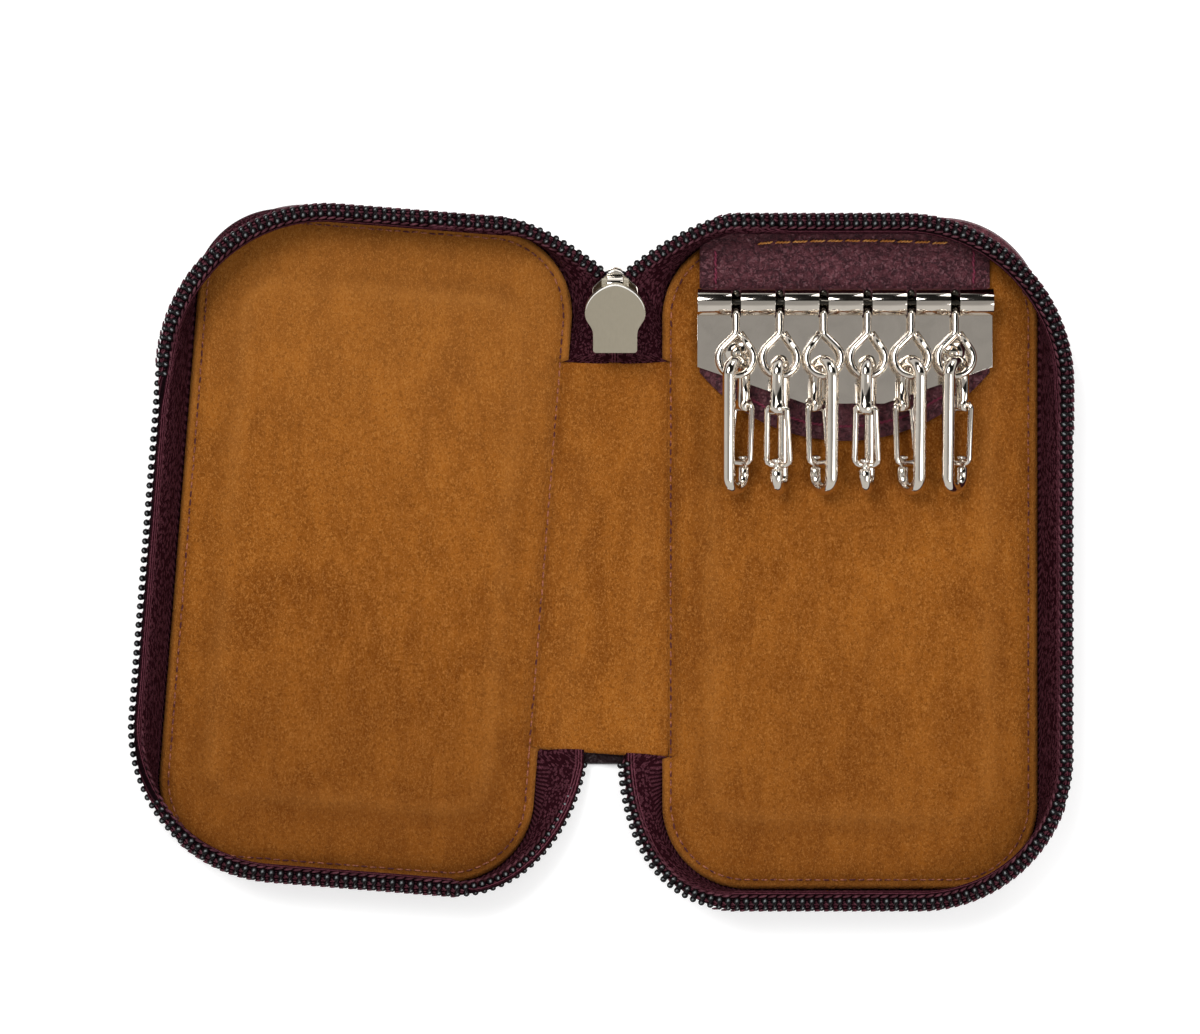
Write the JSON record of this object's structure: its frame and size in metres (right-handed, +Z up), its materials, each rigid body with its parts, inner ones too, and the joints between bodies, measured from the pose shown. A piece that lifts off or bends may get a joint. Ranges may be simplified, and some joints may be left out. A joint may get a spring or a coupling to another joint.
{
  "type": "zip-around key case",
  "caption": "Zip-around leather key case lying open, suede lined, with a riveted key plate, wire hangers and snap hooks.",
  "frame": {"origin": "middle of the spine's outside face, which lies on the surface under the open case", "axes": "+X from the left cover to the right cover, +Y along the spine to the slider's end, +Z up out of the open case"},
  "size_m": [0.1436, 0.1085, 0.0118],
  "materials": {
    "outer_leather": "pebbled grain, burgundy",
    "patch_leather": "pebbled grain, burgundy",
    "suede_lining": "soft caramel suede nap",
    "stiffener_board": "plain board",
    "zip_tape": "woven burgundy tape",
    "zip_teeth": "shiny black coil",
    "bright_nickel": "polished nickel plate",
    "satin_nickel": "satin nickel plate"
  },
  "bodies": {
    "spine": {"spine_leather": "outer_leather", "spine_lining": "suede_lining", "left_top_lead_tape": "zip_tape", "left_top_lead_teeth": "zip_teeth", "left_bottom_lead_tape": "zip_tape", "left_bottom_lead_teeth": "zip_teeth", "right_top_lead_tape": "zip_tape", "right_top_lead_teeth": "zip_teeth", "right_bottom_lead_tape": "zip_tape", "right_bottom_lead_teeth": "zip_teeth"},
    "left_cover": {"left_leather": "outer_leather", "left_board": "stiffener_board", "left_lining": "suede_lining", "left_tape": "zip_tape", "left_teeth": "zip_teeth"},
    "right_cover": {"right_leather": "outer_leather", "right_board": "stiffener_board", "right_lining": "suede_lining", "right_tape": "zip_tape", "right_teeth": "zip_teeth", "key_patch": "patch_leather", "key_plate": "bright_nickel", "key_rod": "bright_nickel", "left_rivet": "bright_nickel", "right_rivet": "bright_nickel"},
    "zip_end": {"left_stub_teeth": "zip_teeth", "right_stub_teeth": "zip_teeth"},
    "slider": {"slider_body": "bright_nickel"},
    "pull_tab": {"pull_tab": "satin_nickel"},
    "hanger_1": {"hanger_1": "bright_nickel"},
    "hook_1": {"hook_1": "bright_nickel"},
    "gate_1": {"gate_1": "bright_nickel"},
    "hanger_2": {"hanger_2": "bright_nickel"},
    "hook_2": {"hook_2": "bright_nickel"},
    "gate_2": {"gate_2": "bright_nickel"},
    "hanger_3": {"hanger_3": "bright_nickel"},
    "hook_3": {"hook_3": "bright_nickel"},
    "gate_3": {"gate_3": "bright_nickel"},
    "hanger_4": {"hanger_4": "bright_nickel"},
    "hook_4": {"hook_4": "bright_nickel"},
    "gate_4": {"gate_4": "bright_nickel"},
    "hanger_5": {"hanger_5": "bright_nickel"},
    "hook_5": {"hook_5": "bright_nickel"},
    "gate_5": {"gate_5": "bright_nickel"},
    "hanger_6": {"hanger_6": "bright_nickel"},
    "hook_6": {"hook_6": "bright_nickel"},
    "gate_6": {"gate_6": "bright_nickel"}
  },
  "joints": [
    {"name": "left_fold", "type": "hinge", "parent": "spine", "child": "left_cover", "pos_m": [-0.0093, 0, 0.002], "axis": [0.0392, 0.9985, 0.0392], "range_deg": [0, 90.09], "deforming": ["left_top_lead_tape", "left_top_lead_teeth", "left_bottom_lead_tape", "left_bottom_lead_teeth"]},
    {"name": "right_fold", "type": "hinge", "parent": "spine", "child": "right_cover", "pos_m": [0.0093, 0, 0.002], "axis": [0, -1, 0], "range_deg": [0, 90], "deforming": ["right_top_lead_tape", "right_top_lead_teeth", "right_bottom_lead_tape", "right_bottom_lead_teeth"]},
    {"name": "zip_end_swing", "type": "hinge", "parent": "spine", "child": "zip_end", "pos_m": [0.00115, 0.0316, 0.003], "axis": [-1, 0, 0], "range_deg": [0, 60]},
    {"name": "slider_slide", "type": "slide", "parent": "zip_end", "child": "slider", "axis": [0, 0.9613, 0.2756], "range_m": [-0.003, 0]},
    {"name": "pull_swing", "type": "hinge", "parent": "slider", "child": "pull_tab", "pos_m": [0.00115, 0.04222, 0.0088], "axis": [1, 0, 0], "range_deg": [-105, 0]},
    {"name": "hanger_1_swing", "type": "hinge", "parent": "right_cover", "child": "hanger_1", "pos_m": [0.0196, 0.0397, 0.00635], "axis": [1, 0, 0], "range_deg": [-120, 0]},
    {"name": "hook_1_swing", "type": "hinge", "parent": "hanger_1", "child": "hook_1", "pos_m": [0.0196, 0.0284, 0.00882], "axis": [1, 0, 0], "range_deg": [-35, 0]},
    {"name": "gate_1_open", "type": "hinge", "parent": "hook_1", "child": "gate_1", "pos_m": [0.02078, 0.02401, 0.00644], "axis": [-0.8192, 0.0877, -0.5668], "range_deg": [0, 9.5], "stiffness_Nm_per_rad": 0.0005, "springref_deg": -2.86},
    {"name": "hanger_2_swing", "type": "hinge", "parent": "right_cover", "child": "hanger_2", "pos_m": [0.02628, 0.0397, 0.00635], "axis": [1, 0, 0], "range_deg": [-120, 0]},
    {"name": "hook_2_swing", "type": "hinge", "parent": "hanger_2", "child": "hook_2", "pos_m": [0.02628, 0.0284, 0.00882], "axis": [1, 0, 0], "range_deg": [-35, 0]},
    {"name": "gate_2_open", "type": "hinge", "parent": "hook_2", "child": "gate_2", "pos_m": [0.02575, 0.02345, 0.01006], "axis": [0.9659, -0.0396, 0.2558], "range_deg": [0, 9.5], "stiffness_Nm_per_rad": 0.0005, "springref_deg": -2.86},
    {"name": "hanger_3_swing", "type": "hinge", "parent": "right_cover", "child": "hanger_3", "pos_m": [0.03296, 0.0397, 0.00635], "axis": [1, 0, 0], "range_deg": [-120, 0]},
    {"name": "hook_3_swing", "type": "hinge", "parent": "hanger_3", "child": "hook_3", "pos_m": [0.03296, 0.0284, 0.00882], "axis": [1, 0, 0], "range_deg": [-35, 0]},
    {"name": "gate_3_open", "type": "hinge", "parent": "hook_3", "child": "gate_3", "pos_m": [0.03178, 0.02401, 0.00644], "axis": [-0.8192, -0.0877, 0.5668], "range_deg": [0, 9.5], "stiffness_Nm_per_rad": 0.0005, "springref_deg": -2.86},
    {"name": "hanger_4_swing", "type": "hinge", "parent": "right_cover", "child": "hanger_4", "pos_m": [0.03964, 0.0397, 0.00635], "axis": [1, 0, 0], "range_deg": [-120, 0]},
    {"name": "hook_4_swing", "type": "hinge", "parent": "hanger_4", "child": "hook_4", "pos_m": [0.03964, 0.0284, 0.00882], "axis": [1, 0, 0], "range_deg": [-35, 0]},
    {"name": "gate_4_open", "type": "hinge", "parent": "hook_4", "child": "gate_4", "pos_m": [0.03921, 0.02345, 0.01008], "axis": [0.9781, -0.0318, 0.2055], "range_deg": [0, 9.5], "stiffness_Nm_per_rad": 0.0005, "springref_deg": -2.86},
    {"name": "hanger_5_swing", "type": "hinge", "parent": "right_cover", "child": "hanger_5", "pos_m": [0.04632, 0.0397, 0.00635], "axis": [1, 0, 0], "range_deg": [-120, 0]},
    {"name": "hook_5_swing", "type": "hinge", "parent": "hanger_5", "child": "hook_5", "pos_m": [0.04632, 0.0284, 0.00882], "axis": [1, 0, 0], "range_deg": [-35, 0]},
    {"name": "gate_5_open", "type": "hinge", "parent": "hook_5", "child": "gate_5", "pos_m": [0.04514, 0.02401, 0.00644], "axis": [-0.8192, -0.0877, 0.5668], "range_deg": [0, 9.5], "stiffness_Nm_per_rad": 0.0005, "springref_deg": -2.86},
    {"name": "hanger_6_swing", "type": "hinge", "parent": "right_cover", "child": "hanger_6", "pos_m": [0.053, 0.0397, 0.00635], "axis": [1, 0, 0], "range_deg": [-120, 0]},
    {"name": "hook_6_swing", "type": "hinge", "parent": "hanger_6", "child": "hook_6", "pos_m": [0.053, 0.0284, 0.00882], "axis": [1, 0, 0], "range_deg": [-35, 0]},
    {"name": "gate_6_open", "type": "hinge", "parent": "hook_6", "child": "gate_6", "pos_m": [0.05418, 0.02401, 0.00644], "axis": [-0.8192, 0.0877, -0.5668], "range_deg": [0, 9.5], "stiffness_Nm_per_rad": 0.0005, "springref_deg": -2.86}
  ],
  "couplings": [
    {"joint": "zip_end_swing", "follows": "right_fold", "ratio": 0.6666}
  ]
}
